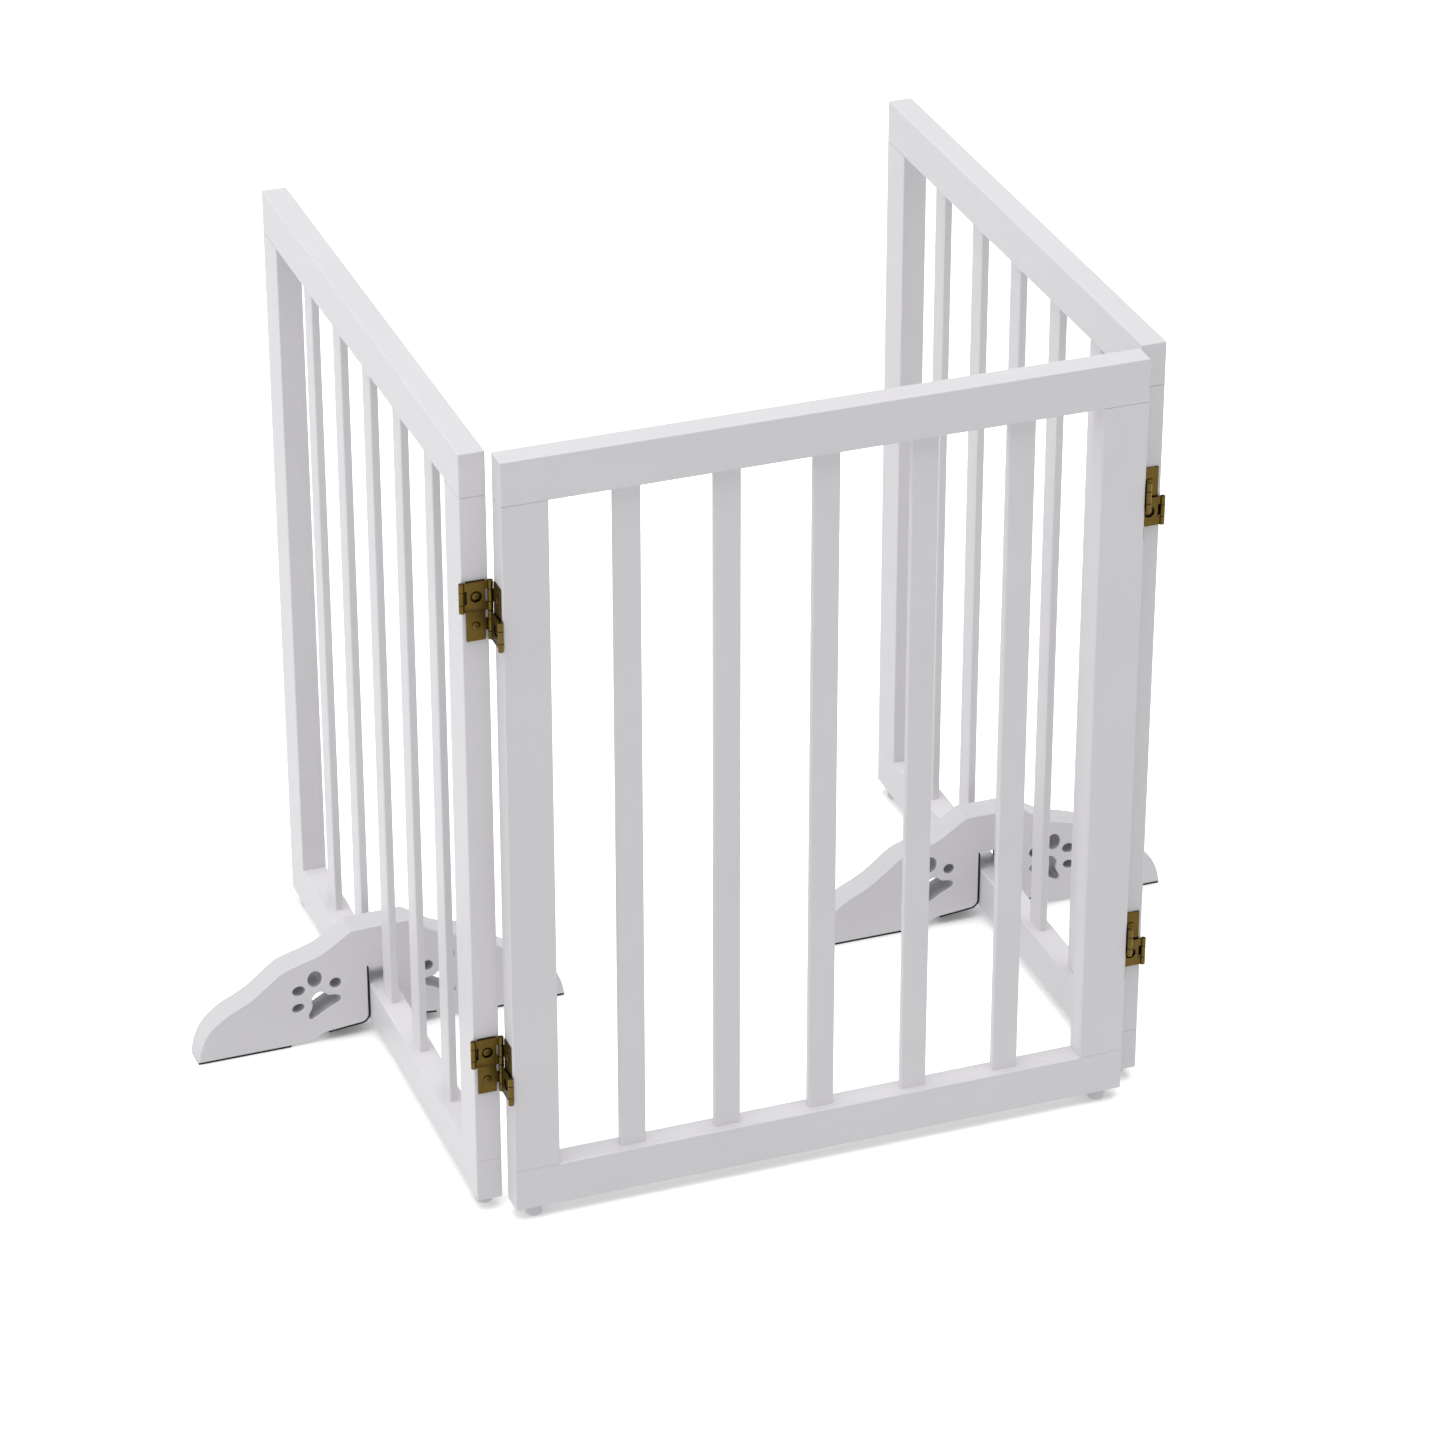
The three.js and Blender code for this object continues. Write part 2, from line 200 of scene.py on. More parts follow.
def lathe(profile, sides):
    """A closed surface of revolution about Z from (radius, z) points that start and end on Z."""
    shape = bmesh.new()
    rings = []
    for radius, z in profile:
        if radius == 0:
            rings.append([shape.verts.new((0, 0, z))])
            continue
        angles = [2 * math.pi * i / sides for i in range(sides)]
        rings.append([
            shape.verts.new((radius * math.cos(a), radius * math.sin(a), z)) for a in angles
        ])
    for lower, upper in zip(rings, rings[1:]):
        for i in range(sides):
            j = (i + 1) % sides
            corners = [lower[i % len(lower)], lower[j % len(lower)],
                       upper[j % len(upper)], upper[i % len(upper)]]
            shape.faces.new(list(dict.fromkeys(corners)))
    bmesh.ops.recalc_face_normals(shape, faces=shape.faces)
    mesh = bpy.data.meshes.new("lathe")
    shape.to_mesh(mesh)
    shape.free()
    return mesh


def combine(base, others, operation):
    """The base mesh joined with, or cut by, the other meshes."""
    target = mesh_object("base", base)
    tools = [mesh_object("tool", other) for other in others]
    for tool in tools:
        step = target.modifiers.new("combine", "BOOLEAN")
        step.operation = operation
        step.solver = "EXACT"
        step.object = tool
    result = evaluated_mesh(target)
    discard(target, *tools)
    return result


def rounded(mesh, width, segments=2, angle=40):
    """The mesh with its sharp edges rounded."""
    source = mesh_object("rounding", mesh)
    bevel = source.modifiers.new("edge", "BEVEL")
    bevel.width = width
    bevel.segments = segments
    bevel.limit_method = "ANGLE"
    bevel.angle_limit = math.radians(angle)
    bevel.use_clamp_overlap = True
    bevel.miter_outer = "MITER_ARC"
    result = evaluated_mesh(source)
    discard(source)
    return result


def arc(x, y, radius, start, end, steps):
    """Points on an arc, angles in degrees."""
    angles = [math.radians(start + (end - start) * i / steps) for i in range(steps + 1)]
    return [(x + radius * math.cos(a), y + radius * math.sin(a)) for a in angles]


# ------------------------------------------------------------------ materials


class Nodes:
    """A short way to wire up one material's node tree."""

    def __init__(self, name):
        self.material = bpy.data.materials.new(name)
        self.material.use_nodes = True
        self.tree = self.material.node_tree
        self.shader = self.tree.nodes["Principled BSDF"]

    def add(self, kind, settings=None, **inputs):
        node = self.tree.nodes.new(kind)
        for key, value in (settings or {}).items():
            setattr(node, key, value)
        for key, value in inputs.items():
            self.feed(node, key.replace("_", " "), value)
        return node

    def feed(self, node, socket, value):
        target = node.inputs[socket]
        if isinstance(value, bpy.types.NodeSocket):
            self.tree.links.new(value, target)
        else:
            target.default_value = value

    def stretched(self, factors):
        """Rest-position coordinates in metres, scaled along each axis."""
        place_node = self.add("ShaderNodeTexCoord")
        mapping = self.add("ShaderNodeMapping", Vector=place_node.outputs["Object"])
        mapping.inputs["Scale"].default_value = factors
        return mapping.outputs["Vector"]

    def noise(self, vector, scale, detail=3.0, roughness=0.55):
        node = self.add("ShaderNodeTexNoise", Vector=vector, Scale=scale, Detail=detail,
                        Roughness=roughness)
        return node.outputs["Fac"]

    def ramp(self, value, stops):
        node = self.add("ShaderNodeValToRGB", Fac=value)
        elements = node.color_ramp.elements
        while len(elements) < len(stops):
            elements.new(0.5)
        for element, (position, colour) in zip(elements, stops):
            element.position = position
            element.color = (*colour, 1)
        return node.outputs["Color"]

    def span(self, value, low, high):
        node = self.add("ShaderNodeMapRange", Value=value)
        node.inputs["To Min"].default_value = low
        node.inputs["To Max"].default_value = high
        return node.outputs["Result"]

    def bump(self, height, distance, strength=1.0, under=None):
        node = self.add("ShaderNodeBump", Height=height, Strength=strength, Distance=distance)
        if under is not None:
            self.feed(node, "Normal", under)
        return node.outputs["Normal"]

    def finish(self, **inputs):
        for key, value in inputs.items():
            self.feed(self.shader, key.replace("_", " "), value)
        return self.material


PAINT_SHADES = (0.755, 0.740, 0.762), (0.78, 0.765, 0.787)
HOLE_PAINTED_SHADE = 0.68  # painted shade in the paw's cut-outs: how much darker the paint on their walls is than the boards'
SAWN_EDGE_PAINTED_SHADE = 0.89  # painted shade on the feet's sawn edges: how much darker their paint is than the boards'


def painted_wood(axis, name="", painted_shade=1.0):
    """Satin white paint over a planed board. The grain runs along the axis, 0, 1 or 2, and
    the last argument darkens it as painted shade."""
    nodes = Nodes("painted_wood_" + (name or "xyz"[axis]))
    along = [1.0, 1.0, 1.0]
    along[axis] = 0.035
    grain_place = nodes.stretched(along)
    flat_place = nodes.stretched((1.0, 1.0, 1.0))
    grain = nodes.noise(grain_place, 900.0, detail=4.0, roughness=0.6)
    pores = nodes.noise(grain_place, 2600.0, detail=2.0)
    cloud = nodes.noise(flat_place, 9.0, detail=2.0)
    peel = nodes.noise(flat_place, 1500.0, detail=2.0)
    shades = [[channel * painted_shade for channel in shade] for shade in PAINT_SHADES]
    colour = nodes.ramp(cloud, [(0.3, shades[0]), (0.7, shades[1])])
    tint = nodes.add("ShaderNodeMix", {"data_type": "RGBA", "blend_type": "MULTIPLY"})
    tint.inputs["Factor"].default_value = 0.5
    nodes.tree.links.new(colour, tint.inputs[6])
    streaks = nodes.ramp(grain, [(0.3, (0.965, 0.965, 0.965)), (0.55, (1.0, 1.0, 1.0))])
    nodes.tree.links.new(streaks, tint.inputs[7])
    surface = nodes.bump(grain, 0.12 * MM, 0.35)
    surface = nodes.bump(pores, 0.06 * MM, 0.25, surface)
    surface = nodes.bump(peel, 0.04 * MM, 0.3, surface)
    return nodes.finish(
        Base_Color=tint.outputs[2],
        Roughness=nodes.span(cloud, 0.42, 0.5),
        Specular_IOR_Level=0.4,
        Normal=surface,
    )


BRASS_PATINA = (0.086, 0.053, 0.0070), (0.108, 0.068, 0.0100)
BRASS_WORN = (0.20, 0.145, 0.05)
KNUCKLE_WEAR_AND_LIGHT = 1.15  # how much lighter the knuckles are: wear where hands and dust rub them, and a painted highlight on their round sides
WEAR_REACH = 0.35 * MM
# how far the painted shade in the brass's recesses and gaps reaches
PAINTED_RECESS_SHADE_REACH = 3.2 * MM


def antique_brass(name, wear_and_light=1.0):
    """Brass with a brown patina, rubbed brighter along its edges, with painted shade in the
    recesses and the gaps between parts, where the patina gathers too.
    """
    nodes = Nodes(name)
    place_node = nodes.stretched((1.0, 1.0, 1.0))
    cloud = nodes.noise(place_node, 120.0, detail=3.0)
    fine = nodes.noise(place_node, 2200.0, detail=3.0)
    # A lighter copy for the knuckles: partly wear, partly a painted highlight on their round
    # sides.
    shades = [[channel * wear_and_light for channel in shade] for shade in BRASS_PATINA]
    patina = nodes.ramp(cloud, [(0.3, shades[0]), (0.7, shades[1])])
    soft = nodes.add("ShaderNodeBevel", {"samples": 6}, Radius=WEAR_REACH)
    true_normal = nodes.add("ShaderNodeNewGeometry").outputs["Normal"]
    match = nodes.add("ShaderNodeVectorMath", {"operation": "DOT_PRODUCT"})
    nodes.tree.links.new(soft.outputs["Normal"], match.inputs[0])
    nodes.tree.links.new(true_normal, match.inputs[1])
    worn = nodes.add("ShaderNodeMapRange", Value=match.outputs["Value"])
    worn.inputs["From Min"].default_value = 0.985
    worn.inputs["From Max"].default_value = 0.90
    worn.inputs["To Min"].default_value = 0.0
    worn.inputs["To Max"].default_value = 0.4
    rubbed = nodes.add("ShaderNodeMix", {"data_type": "RGBA"}, Factor=worn.outputs["Result"])
    nodes.tree.links.new(patina, rubbed.inputs[6])
    rubbed.inputs[7].default_value = (*BRASS_WORN, 1)
    # Painted shade: occlusion darkens the colour in the recesses and the gaps between parts,
    # partly the patina that gathers there.
    painted_recess_shade = nodes.add("ShaderNodeAmbientOcclusion", {"samples": 12}, Distance=PAINTED_RECESS_SHADE_REACH)
    recess_shade_ramp = nodes.ramp(painted_recess_shade.outputs["AO"], [(0.5, (0.04, 0.03, 0.02)), (0.9, (1.0, 1.0, 1.0))])
    patina_and_painted_shade = nodes.add("ShaderNodeMix", {"data_type": "RGBA", "blend_type": "MULTIPLY"})
    patina_and_painted_shade.inputs["Factor"].default_value = 1.0
    nodes.tree.links.new(rubbed.outputs[2], patina_and_painted_shade.inputs[6])
    nodes.tree.links.new(recess_shade_ramp, patina_and_painted_shade.inputs[7])
    surface = nodes.bump(fine, 0.02 * MM, 0.3)
    return nodes.finish(
        Base_Color=patina_and_painted_shade.outputs[2],
        Metallic=0.85,
        Roughness=nodes.span(cloud, 0.40, 0.34),
        Normal=surface,
    )


def black_rubber():
    nodes = Nodes("black_rubber")
    place_node = nodes.stretched((1.0, 1.0, 1.0))
    pebble = nodes.noise(place_node, 1300.0, detail=2.0)
    dust = nodes.noise(place_node, 60.0, detail=3.0)
    return nodes.finish(
        Base_Color=nodes.ramp(dust, [(0.35, (0.012, 0.012, 0.013)), (0.7, (0.024, 0.024, 0.025))]),
        Roughness=nodes.span(dust, 0.75, 0.9),
        Specular_IOR_Level=0.3,
        Normal=nodes.bump(pebble, 0.08 * MM, 0.6),
    )


def white_plastic():
    nodes = Nodes("white_plastic")
    place_node = nodes.stretched((1.0, 1.0, 1.0))
    cloud = nodes.noise(place_node, 120.0, detail=3.0)
    spark = nodes.noise(place_node, 2200.0, detail=2.0)
    return nodes.finish(
        Base_Color=nodes.ramp(cloud, [(0.3, (0.62, 0.61, 0.63)), (0.7, (0.66, 0.65, 0.67))]),
        Roughness=nodes.span(cloud, 0.45, 0.6),
        Normal=nodes.bump(spark, 0.04 * MM, 0.5),
    )


PAINT = [painted_wood(axis) for axis in range(3)]
PAINT_SHADED_IN_HOLES = painted_wood(1, "painted_shade_in_holes", HOLE_PAINTED_SHADE)
PAINT_SHADED_ON_SAWN_EDGES = painted_wood(0, "painted_shade_on_sawn_edges", SAWN_EDGE_PAINTED_SHADE)
BRASS = antique_brass("antique_brass")
# The knuckles' lighter brass: wear, and a painted highlight on their round sides.
BRASS_KNUCKLES_WORN_AND_LIT = antique_brass("antique_brass_knuckles_worn_and_lit", KNUCKLE_WEAR_AND_LIGHT)
RUBBER = black_rubber()
PLASTIC = white_plastic()


def longest_axis(node):
    low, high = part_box(node)
    size = high - low
    return max(range(3), key=lambda axis: size[axis])


# ------------------------------------------------------------------ boards


def board(node, radius, end_radius=None, along=2, reach=None):
    """A box in a node's place with rounded edges; those round its two ends may be tighter.
    `reach` gives its lowest and highest z where they aren't the node's own."""
    low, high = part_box(node)
    if reach:
        low.z, high.z = reach
    shape = bmesh.new()
    bmesh.ops.create_cube(shape, size=1)
    for vertex in shape.verts:
        vertex.co = Vector(
            (low[i] + high[i]) / 2 + vertex.co[i] * (high[i] - low[i]) for i in range(3)
        )
    long_edges = [
        edge for edge in shape.edges
        if abs(edge.verts[0].co[along] - edge.verts[1].co[along]) > 1e-6
    ]
    bmesh.ops.bevel(shape, geom=long_edges, offset=radius, segments=4, profile=0.5,
                    affect="EDGES")
    if end_radius:
        rim = [
            edge for edge in shape.edges
            if abs(edge.verts[0].co[along] - edge.verts[1].co[along]) < 1e-6
            and len({round(face.normal[along]) for face in edge.link_faces}) > 1
        ]
        bmesh.ops.bevel(shape, geom=rim, offset=end_radius, segments=3, profile=0.5,
                        affect="EDGES")
    mesh = bpy.data.meshes.new("board")
    shape.to_mesh(mesh)
    shape.free()
    return shaded(mesh, 50)


def build_rail(node):
    along = longest_axis(node)
    place(board(node, RAIL_EDGE, RAIL_EDGE, along), node, PAINT[along])


def build_stile(node, reach):
    """A stile's square ends butt against its rails, so it hides the CAD node's dowels."""
    place(board(node, RAIL_EDGE, END_EDGE, reach=reach), node, PAINT[2])


def build_slat(node):
    place(board(node, SLAT_EDGE), node, PAINT[2])


def build_glide(node):
    low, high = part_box(node)
    centre = (low + high) / 2
    radius = (high.x - low.x) / 2
    rail_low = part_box(node.rsplit("_", 2)[0] + "_bottom_rail")[0].z
    profile = [(0, 0), (radius * 0.55, 0), (radius * 0.6, 0.25 * MM), (radius * 0.66, 0)]
    profile += [
        (radius - GLIDE_EDGE + y, GLIDE_EDGE + z)
        for y, z in arc(0, 0, GLIDE_EDGE, -90, 0, 6)
    ]
    profile += [(radius, rail_low - 0.4 * MM), (radius - 0.25 * MM, rail_low), (0, rail_low)]
    mesh = lathe(profile, 48)
    mesh.transform(Matrix.Translation((centre.x, centre.y, low.z)))
    place(shaded(mesh, 40), node, PLASTIC)


for panel in PANELS:
    own = sorted(node for node in frame["nodes"] if node.startswith(panel + "_"))
    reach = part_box(panel + "_bottom_rail")[1].z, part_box(panel + "_top_rail")[0].z
    for node in own:
        if node.endswith("_rail"):
            build_rail(node)
        elif node.endswith("_stile"):
            build_stile(node, reach)
        elif "_slat_" in node:
            build_slat(node)
        elif "_glide_" in node:
            build_glide(node)


# ------------------------------------------------------------------ support feet

# The foot's outline in millimetres, x along the foot from its middle and y up from the floor.
FOOT_HALF = 146
FOOT_BASE = 1.3
FOOT_TOP_EDGE = [
    (FOOT_HALF, FOOT_BASE), (144.3, 10.5), (141, 19.4), (136, 27.2), (130, 32.9), (122, 38.6),
    (112, 43.5), (101, 49.6), (90, 58.2), (79, 66.7), (69, 70.6), (59, 73.5), (48, 77),
    (37, 83.4), (28.5, 89.4), (22.5, 93.3),
]
ARCH_START, ARCH_END, ARCH_BASE = 60, 43, 7.75
ARCH_SLOPE = math.radians(5.4)
NOTCH_HALF, NOTCH_TOP, NOTCH_CORNER = 11.2, 59, 6.5
TOES = [
    # centre, half axes and tilt in degrees
    (66.4, 33.3, 4.7, 3.4, -14), (65.5, 48.2, 4.85, 4, -4),
    (52.6, 56.2, 5.5, 6.8, 0), (36.5, 49.7, 4.3, 4.1, 0),
]
PAW_PAD = [
    (58.3, 24), (56.7, 21.5), (54.5, 22.1), (48.9, 25.2), (42.7, 28.8), (37, 31.5),
    (33.9, 33.2), (32.6, 35.6), (34.1, 38), (37.6, 39.3), (41.6, 39.7), (43.9, 41.2),
    (45.8, 43), (49.1, 43.9), (52.6, 42.5), (55.1, 39.4), (55.4, 36.5), (54.9, 33.7),
    (55.6, 30), (57.3, 26.9),
]

# The part of the foot that the paw's cut-outs are in, clear of the outer edge
PAW_FROM, PAW_TO = 31 * MM, 72 * MM
PAW_LOW, PAW_HIGH = 20 * MM, 64 * MM
SAWN_FACING = 0.3  # faces that look less than this towards a broad side were sawn, and get painted shade


def flowing(points, steps, closed=False):
    """A uniform Catmull-Rom curve through the points."""
    if closed:
        ends = [points[-1], *points, points[0], points[1]]
    else:
        ends = [points[0], *points, points[-1]]
    curve = []
    for p0, p1, p2, p3 in zip(ends, ends[1:], ends[2:], ends[3:]):
        for step in range(steps):
            t = step / steps
            curve.append(tuple(
                0.5 * (2 * b + (c - a) * t + (2 * a - 5 * b + 4 * c - d) * t * t
                       + (3 * b - a - 3 * c + d) * t ** 3)
                for a, b, c, d in zip(p0, p1, p2, p3)
            ))
    return curve if closed else curve + [points[-1]]


def arch_rise(steps):
    """The curve from the floor line up to the arch, leaving both ends smoothly."""
    run = ARCH_START - ARCH_END
    corners = [
        (ARCH_START, FOOT_BASE), (ARCH_START - run / 3, FOOT_BASE),
        (ARCH_END + run / 2, ARCH_BASE - run / 2 * math.tan(ARCH_SLOPE)), (ARCH_END, ARCH_BASE),
    ]
    line = []
    for step in range(steps + 1):
        t = step / steps
        shares = (1 - t) ** 3, 3 * t * (1 - t) ** 2, 3 * t * t * (1 - t), t ** 3
        line.append(tuple(
            sum(share * corner[axis] for share, corner in zip(shares, corners))
            for axis in (0, 1)
        ))
    return line


def notch_corner(steps):
    """The rounded corner from the sloping arch into the upright side of the notch."""
    x = NOTCH_HALF + NOTCH_CORNER
    y = ARCH_BASE + (ARCH_END - x) * math.tan(ARCH_SLOPE) + NOTCH_CORNER / math.cos(ARCH_SLOPE)
    return arc(x, y, NOTCH_CORNER, 270 - math.degrees(ARCH_SLOPE), 180, steps)


def ellipse(x, y, a, b, tilt=0, sides=40):
    turn = math.radians(tilt)
    points = []
    for i in range(sides):
        angle = 2 * math.pi * i / sides
        u, v = a * math.cos(angle), b * math.sin(angle)
        points.append((
            x + u * math.cos(turn) - v * math.sin(turn),
            y + u * math.sin(turn) + v * math.cos(turn),
        ))
    return points


def mirrored(points):
    return [(-x, y) for x, y in reversed(points)]


def build_foot(node):
    half = flowing(FOOT_TOP_EDGE, 6)[::-1]
    half += arch_rise(12)
    half += notch_corner(10)
    half += [(NOTCH_HALF, NOTCH_TOP)]
    holes = [ellipse(*toe) for toe in TOES] + [flowing(PAW_PAD, 5, closed=True)]
    outlines = [half + mirrored(half)] + holes + [mirrored(hole) for hole in holes]
    scaled = [[(x * MM, y * MM) for x, y in outline] for outline in outlines]
    low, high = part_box(node)
    mesh = outline_solid(scaled, high.y - low.y, FOOT_EDGE)
    stand = Matrix.Rotation(math.radians(90), 4, "X")
    centre = (low + high) / 2
    mesh.transform(Matrix.Translation((centre.x, centre.y, 0)) @ stand)
    mesh = shaded(mesh, 40)
    place(mesh, node, PAINT[0])
    # Painted shade: darker copies of the paint for the walls of the paw's cut-outs and for the
    # sawn edges.
    mesh.materials.append(PAINT_SHADED_IN_HOLES)
    mesh.materials.append(PAINT_SHADED_ON_SAWN_EDGES)
    painted_shade_in_holes, painted_shade_on_edges = 1, 2
    # Painted shade: sawn faces outside the paw get the darker paint for the sawn edges, those
    # inside it the darker paint for the holes.
    for face in mesh.polygons:
        from_middle = abs(face.center.x - centre.x)
        in_paw = PAW_FROM < from_middle < PAW_TO and PAW_LOW < face.center.z < PAW_HIGH
        if abs(face.normal.y) < SAWN_FACING:
            face.material_index = painted_shade_in_holes if in_paw else painted_shade_on_edges


for side in ("left", "right"):
    build_foot(side + "_foot")
    for strip in ("front_pad", "back_pad", "front_liner", "back_liner"):
        strip_object = frame["nodes"][f"{side}_foot_{strip}"]
        strip_object.data.materials.clear()
        strip_object.data.materials.append(RUBBER)
        softened = strip_object.modifiers.new("edge", "BEVEL")
        softened.width = STRIP_EDGE
        softened.segments = 2
        softened.limit_method = "ANGLE"
        softened.angle_limit = math.radians(50)


# ------------------------------------------------------------------ hinges

# A hinge piece's own frame is the CAD's: X across the gap, Y from front to back, Z up.


def knuckle_profile(plate_x, plate_y, axis_y, end):
    """A tab that leaves the leaf's plate and rolls round the pin, leaving a fine seam."""
    outer = plate_x + SHEET
    line = [(outer, plate_y - TAB_LAP), (outer, plate_y + TAB_RISE)]
    line += arc(0, axis_y, KNUCKLE_R, 0, ROLL_END, 40)
    line += arc(0, axis_y, KNUCKLE_R - SHEET, ROLL_END, 0, 28)
    line += [(plate_x, plate_y + TAB_RISE), (plate_x, plate_y - TAB_LAP)]
    return [(x, y * end) for x, y in line]


def leaf_mesh(leaf_box_height, plate_x, axis_y):
    """The leaf for the +X side: a plate, a rear knuckle above and a front knuckle below."""
    half_w, half_h = LEAF_W / 2, leaf_box_height / 2
    outline = rounded_rectangle(half_w, half_h, PLATE_CORNER)
    holes = [
        ellipse(0, end * half_h / 2, SCREW_HOLE_R, SCREW_HOLE_R, sides=32)
        for end in (-1, 1)
    ]
    plate = outline_solid([outline] + holes, SHEET, METAL_EDGE, 1)
    stand = Matrix(((0, 0, 1, plate_x + SHEET / 2), (1, 0, 0, 0), (0, 1, 0, 0), (0, 0, 0, 1)))
    plate.transform(stand)
    tabs = []
    for end in (-1, 1):
        low = end * half_h / 2 - LEAF_KNUCKLE_H / 2
        profile = knuckle_profile(plate_x, half_w, axis_y, end)
        tab = extrude_profile(profile, low, low + LEAF_KNUCKLE_H)
        tabs.append(rounded(tab, METAL_EDGE, 1, 60))
    return shaded(combine(plate, tabs, "UNION"), 35)


def rounded_rectangle(half_w, half_h, radius):
    outline = []
    for x, y, start in ((1, 1, 0), (-1, 1, 90), (-1, -1, 180), (1, -1, 270)):
        outline += arc(x * (half_w - radius), y * (half_h - radius), radius, start, start + 90, 5)
    return outline


def lighten_knuckles_worn_and_lit(piece, pins):
    """Give the faces round the upright pins the lighter brass: their wear, and a painted highlight
    on the round knuckles.
    """
    piece.data.materials.append(BRASS_KNUCKLES_WORN_AND_LIT)
    for face in piece.data.polygons:
        if min((face.center - pin).xy.length for pin in pins) < KNUCKLE_REACH:
            face.material_index = 1


def link_mesh(height, axis_y):
    """A link: a notched plate with a large hole, and two outer knuckles at each edge."""
    half_h = height / 2
    notch_h = LEAF_KNUCKLE_H / 2 + KNUCKLE_GAP
    notch_y = axis_y - KNUCKLE_R - LINK_WINDOW_GAP
    edge_y = axis_y - KNUCKLE_R / 2
    corner = 0.4 * MM
    quarter = [(edge_y, half_h), (edge_y, notch_h), (notch_y + corner, notch_h)]
    quarter += arc(notch_y + corner, notch_h - corner, corner, 90, 180, 4)
    right = quarter + [(y, -z) for y, z in reversed(quarter)]
    outline = right + [(-y, z) for y, z in reversed(right)]
    hole = ellipse(0, 0, LINK_HOLE_R, LINK_HOLE_R, sides=56)
    plate = outline_solid([outline, hole], SHEET, METAL_EDGE, 1)
    plate.transform(Matrix(((0, 0, 1, 0), (1, 0, 0, 0), (0, 1, 0, 0), (0, 0, 0, 1))))
    knuckles = []
    for end in (-1, 1):
        for low, high in ((-half_h, -notch_h), (notch_h, half_h)):
            rim = METAL_EDGE
            profile = [(0, low), (KNUCKLE_R - rim, low), (KNUCKLE_R, low + rim),
                       (KNUCKLE_R, high - rim), (KNUCKLE_R - rim, high), (0, high)]
            knuckle = lathe(profile, 40)
            knuckle.transform(Matrix.Translation((0, end * axis_y, 0)))
            knuckles.append(knuckle)
    return shaded(combine(plate, knuckles, "UNION"), 35)


def pin_mesh(height):
    """A riveted pin, with a shallow dome at each end standing just proud of the knuckles."""
    half = height / 2
    dome = [
        (PIN_DOME_R * math.cos(a), half + PIN_DOME_H * math.sin(a))
        for a in (math.radians(step * 15) for step in range(6))
    ]
    top = dome + [(0, half + PIN_DOME_H)]
    profile = [(r, -z) for r, z in reversed(top)] + top
    return shaded(lathe(profile, 24), 40)


def screw_mesh():
    """A pan-head screw with a crosshead recess, its seat at z = 0 and its head towards +Z."""
    r, h = SCREW_HEAD_R, SCREW_HEAD_H
    profile = [(0, -SCREW_SHANK_LENGTH), (SCREW_SHANK_R, -SCREW_SHANK_LENGTH),
               (SCREW_SHANK_R, 0), (r - 0.1 * MM, 0), (r, 0.1 * MM)]
    profile += [(r - 0.05 * MM, h * 0.35)]
    profile += [(r * math.cos(a) ** 0.8, h * 0.35 + h * 0.65 * math.sin(a))
                for a in (math.radians(step * 10) for step in range(2, 9))]
    profile += [(0, h)]
    head = lathe(profile, 48)
    arms = []
    for quarter in (0, 90):
        x, y = SCREW_CROSS_REACH, SCREW_CROSS_HALF_W
        arm = extrude_profile([(-x, -y), (x, -y), (x, y), (-x, y)], h * 0.2, h * 2)
        for vertex in arm.vertices:
            if vertex.co.z < h:
                vertex.co.x *= 0.55
        arm.transform(Matrix.Rotation(math.radians(quarter), 4, "Z"))
        arms.append(arm)
    return shaded(combine(head, arms, "DIFFERENCE"), 40)


def build_hinges():
    turns = random.Random(7)
    name = "left_upper_hinge_"
    leaf_low, leaf_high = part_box(name + "leaf_b")
    link_low, link_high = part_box(name + "link_b")
    axis_y = (link_high.y - link_low.y) / 2 - KNUCKLE_R
    plate_x = leaf_high.x - (link_high.x + link_low.x) / 2 - SHEET
    leaf = leaf_mesh(leaf_high.z - leaf_low.z, plate_x, axis_y)
    link = link_mesh(link_high.z - link_low.z, axis_y)
    pin = pin_mesh(link_high.z - link_low.z)
    screw = screw_mesh()
    for (corner, side), angle in LEAF_TURN.items():
        turn = Matrix.Rotation(math.radians(angle), 4, "Z")
        for level in ("upper", "lower"):
            stem = f"{corner}_{level}_hinge_"
            leaf_node, link_node = f"{stem}leaf_{side}", f"{stem}link_{side}"
            link_low, link_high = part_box(link_node)
            leaf_low, leaf_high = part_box(leaf_node)
            axis = (link_low + link_high) / 2
            leaf_centre = Vector((axis.x, axis.y, (leaf_low.z + leaf_high.z) / 2))
            pins = [axis + turn @ Vector((0, end * axis_y, 0)) for end in (-1, 1)]
            placed = leaf.copy()
            placed.transform(Matrix.Translation(leaf_centre) @ turn)
            lighten_knuckles_worn_and_lit(place(placed, leaf_node, BRASS), pins)
            placed = link.copy()
            placed.transform(Matrix.Translation(axis) @ turn)
            lighten_knuckles_worn_and_lit(place(placed, link_node, BRASS), pins)
            for number, end in enumerate((-1, 1), 1):
                placed = pin.copy()
                placed.transform(Matrix.Translation(pins[number - 1]) @ turn)
                attach(placed, f"{stem}pin_{side}{number}", link_node, BRASS)
                drop = end * (leaf_high.z - leaf_low.z) / 4
                seat = Matrix.Translation((plate_x, 0, drop)) @ Matrix.Rotation(
                    math.radians(-90), 4, "Y")
                spin = Matrix.Rotation(turns.uniform(0, math.pi), 4, "Z")
                placed = screw.copy()
                placed.transform(Matrix.Translation(leaf_centre) @ turn @ seat @ spin)
                attach(placed, f"{stem}screw_{side}{number}", leaf_node, BRASS)


build_hinges()


# ------------------------------------------------------------------ floor, light and camera

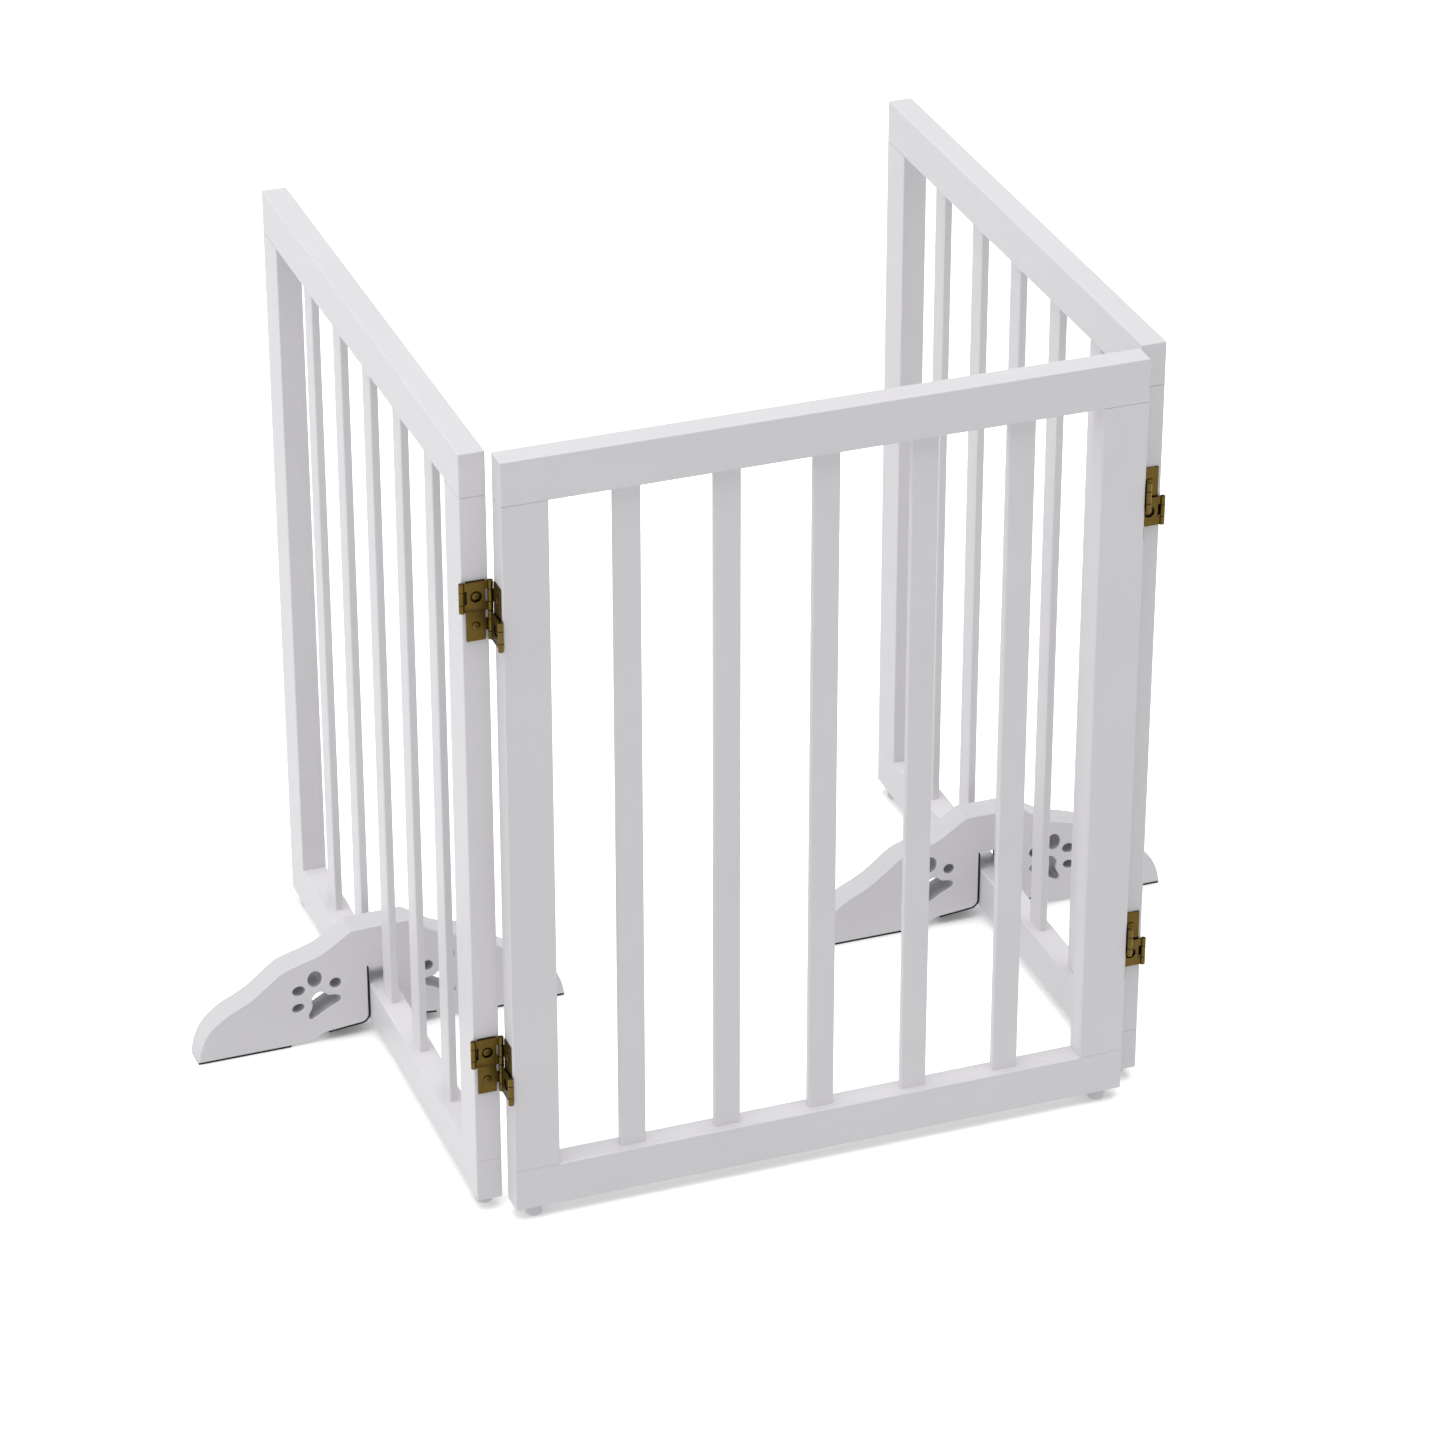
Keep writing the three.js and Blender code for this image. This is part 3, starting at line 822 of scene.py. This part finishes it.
FLOOR_WHITE = (1.45, 1.45, 1.45)  # so white that only its closest shadows show
FLOOR_GLOW = 0.04
FLOOR_HALF = 14.0
UNDERSIDE_PAINTED_SHADOW_REACH = 12 * MM  # how near the gate has to be for the painted shadow that darkens the floor further
UNDERSIDE_PAINTED_SHADOW = (0.80, 0.80, 0.80)  # the painted shadow right under a rail: what stays of the floor's colour there
BAND_LIGHT = 1.05
SKY_LIGHT = 0.42
GROUND_LIGHT = 0.6
SOFT_LIGHTS = (
    # name, strength, spread in degrees, and the azimuth and elevation it shines from
    ("left", 0.70, 60, -90, 35),
    ("top", 1.62, 60, 0, 88),
)
LIGHT_DISTANCE = 3.0

CAMERA_AZIMUTH = -20.294
CAMERA_ELEVATION = 28.912
CAMERA_DISTANCE = 3.9
CAMERA_TARGET = Vector((-0.0328, -0.1217, 0.3083))
CAMERA_LENS = 134.08  # focal length in mm, on a sensor as wide as CAMERA_SENSOR
CAMERA_SENSOR = 36
CAMERA_FAR = 60


def build_floor():
    nodes = Nodes("studio_floor")
    place_node = nodes.stretched((1.0, 1.0, 1.0))
    mottle = nodes.noise(place_node, 3.0, detail=2.0)
    white = nodes.ramp(mottle, [(0.3, FLOOR_WHITE), (0.7, [1.02 * c for c in FLOOR_WHITE])])
    # Painted shadow: occlusion darkens the floor's colour close under the gate, beyond its own
    # shadows.
    painted_shade = nodes.add("ShaderNodeAmbientOcclusion", {"samples": 4}, Distance=UNDERSIDE_PAINTED_SHADOW_REACH)
    shade = nodes.ramp(painted_shade.outputs["AO"], [(0.68, UNDERSIDE_PAINTED_SHADOW), (0.92, (1.0, 1.0, 1.0))])
    tint = nodes.add("ShaderNodeMix", {"data_type": "RGBA", "blend_type": "MULTIPLY"})
    tint.inputs["Factor"].default_value = 1.0
    nodes.tree.links.new(white, tint.inputs[6])
    nodes.tree.links.new(shade, tint.inputs[7])
    nodes.finish(
        Base_Color=tint.outputs[2],
        Roughness=0.95,
        Specular_IOR_Level=0.1,
        Emission_Color=(1, 1, 1, 1),
        Emission_Strength=FLOOR_GLOW,
    )
    half = FLOOR_HALF
    mesh = bpy.data.meshes.new("floor")
    corners = [(-half, -half, 0), (half, -half, 0), (half, half, 0), (-half, half, 0)]
    mesh.from_pydata(corners, [], [(0, 1, 2, 3)])
    mesh.materials.append(nodes.material)
    floor = mesh_object("floor", mesh)
    # The sky lights the object from below as well, so the floor only takes its shadows.
    floor.visible_diffuse = False
    floor.visible_shadow = False


def build_sky():
    """A studio: a white band round the horizon, which carries the floor on, and dim elsewhere."""
    world = bpy.data.worlds.new("studio")
    bpy.context.scene.world = world
    world.use_nodes = True
    tree = world.node_tree
    direction = tree.nodes.new("ShaderNodeTexCoord").outputs["Generated"]
    split = tree.nodes.new("ShaderNodeSeparateXYZ")
    tree.links.new(direction, split.inputs["Vector"])
    height = tree.nodes.new("ShaderNodeMapRange")
    height.inputs["From Min"].default_value = -1.0
    tree.links.new(split.outputs["Z"], height.inputs["Value"])
    ramp = tree.nodes.new("ShaderNodeValToRGB")
    tree.links.new(height.outputs["Result"], ramp.inputs["Fac"])
    shades = [
        (0.0, GROUND_LIGHT), (0.40, GROUND_LIGHT), (0.44, BAND_LIGHT), (0.54, BAND_LIGHT),
        (0.60, SKY_LIGHT), (1.0, SKY_LIGHT),
    ]
    elements = ramp.color_ramp.elements
    while len(elements) < len(shades):
        elements.new(0.5)
    for element, (position, brightness) in zip(elements, shades):
        element.position = position
        element.color = (brightness, brightness, brightness, 1)
    background = tree.nodes["Background"]
    tree.links.new(ramp.outputs["Color"], background.inputs["Color"])
    background.inputs["Strength"].default_value = 1.0


def build_lights():
    for name, strength, spread, azimuth, elevation in SOFT_LIGHTS:
        data = bpy.data.lights.new(name, "SUN")
        data.energy = strength
        data.angle = math.radians(spread)
        lamp = bpy.data.objects.new(name, data)
        bpy.context.scene.collection.objects.link(lamp)
        aim_at(lamp, Vector((0, 0, 0)), azimuth, elevation, LIGHT_DISTANCE)


def aim_at(thing, target, azimuth, elevation, distance):
    """Stands a lamp or camera off from a target and turns it to look there."""
    a, e = math.radians(azimuth), math.radians(elevation)
    back = Vector((math.sin(a) * math.cos(e), -math.cos(a) * math.cos(e), math.sin(e)))
    thing.location = target + back * distance
    thing.rotation_euler = (math.pi / 2 - e, 0, a)


def build_camera():
    data = bpy.data.cameras.new("camera")
    data.lens = CAMERA_LENS
    data.sensor_width = CAMERA_SENSOR
    data.clip_end = CAMERA_FAR
    camera = bpy.data.objects.new("camera", data)
    bpy.context.scene.collection.objects.link(camera)
    aim_at(camera, CAMERA_TARGET, CAMERA_AZIMUTH, CAMERA_ELEVATION, CAMERA_DISTANCE)
    bpy.context.scene.camera = camera


build_floor()
build_sky()
build_lights()
build_camera()
bpy.context.scene.view_settings.view_transform = "Standard"
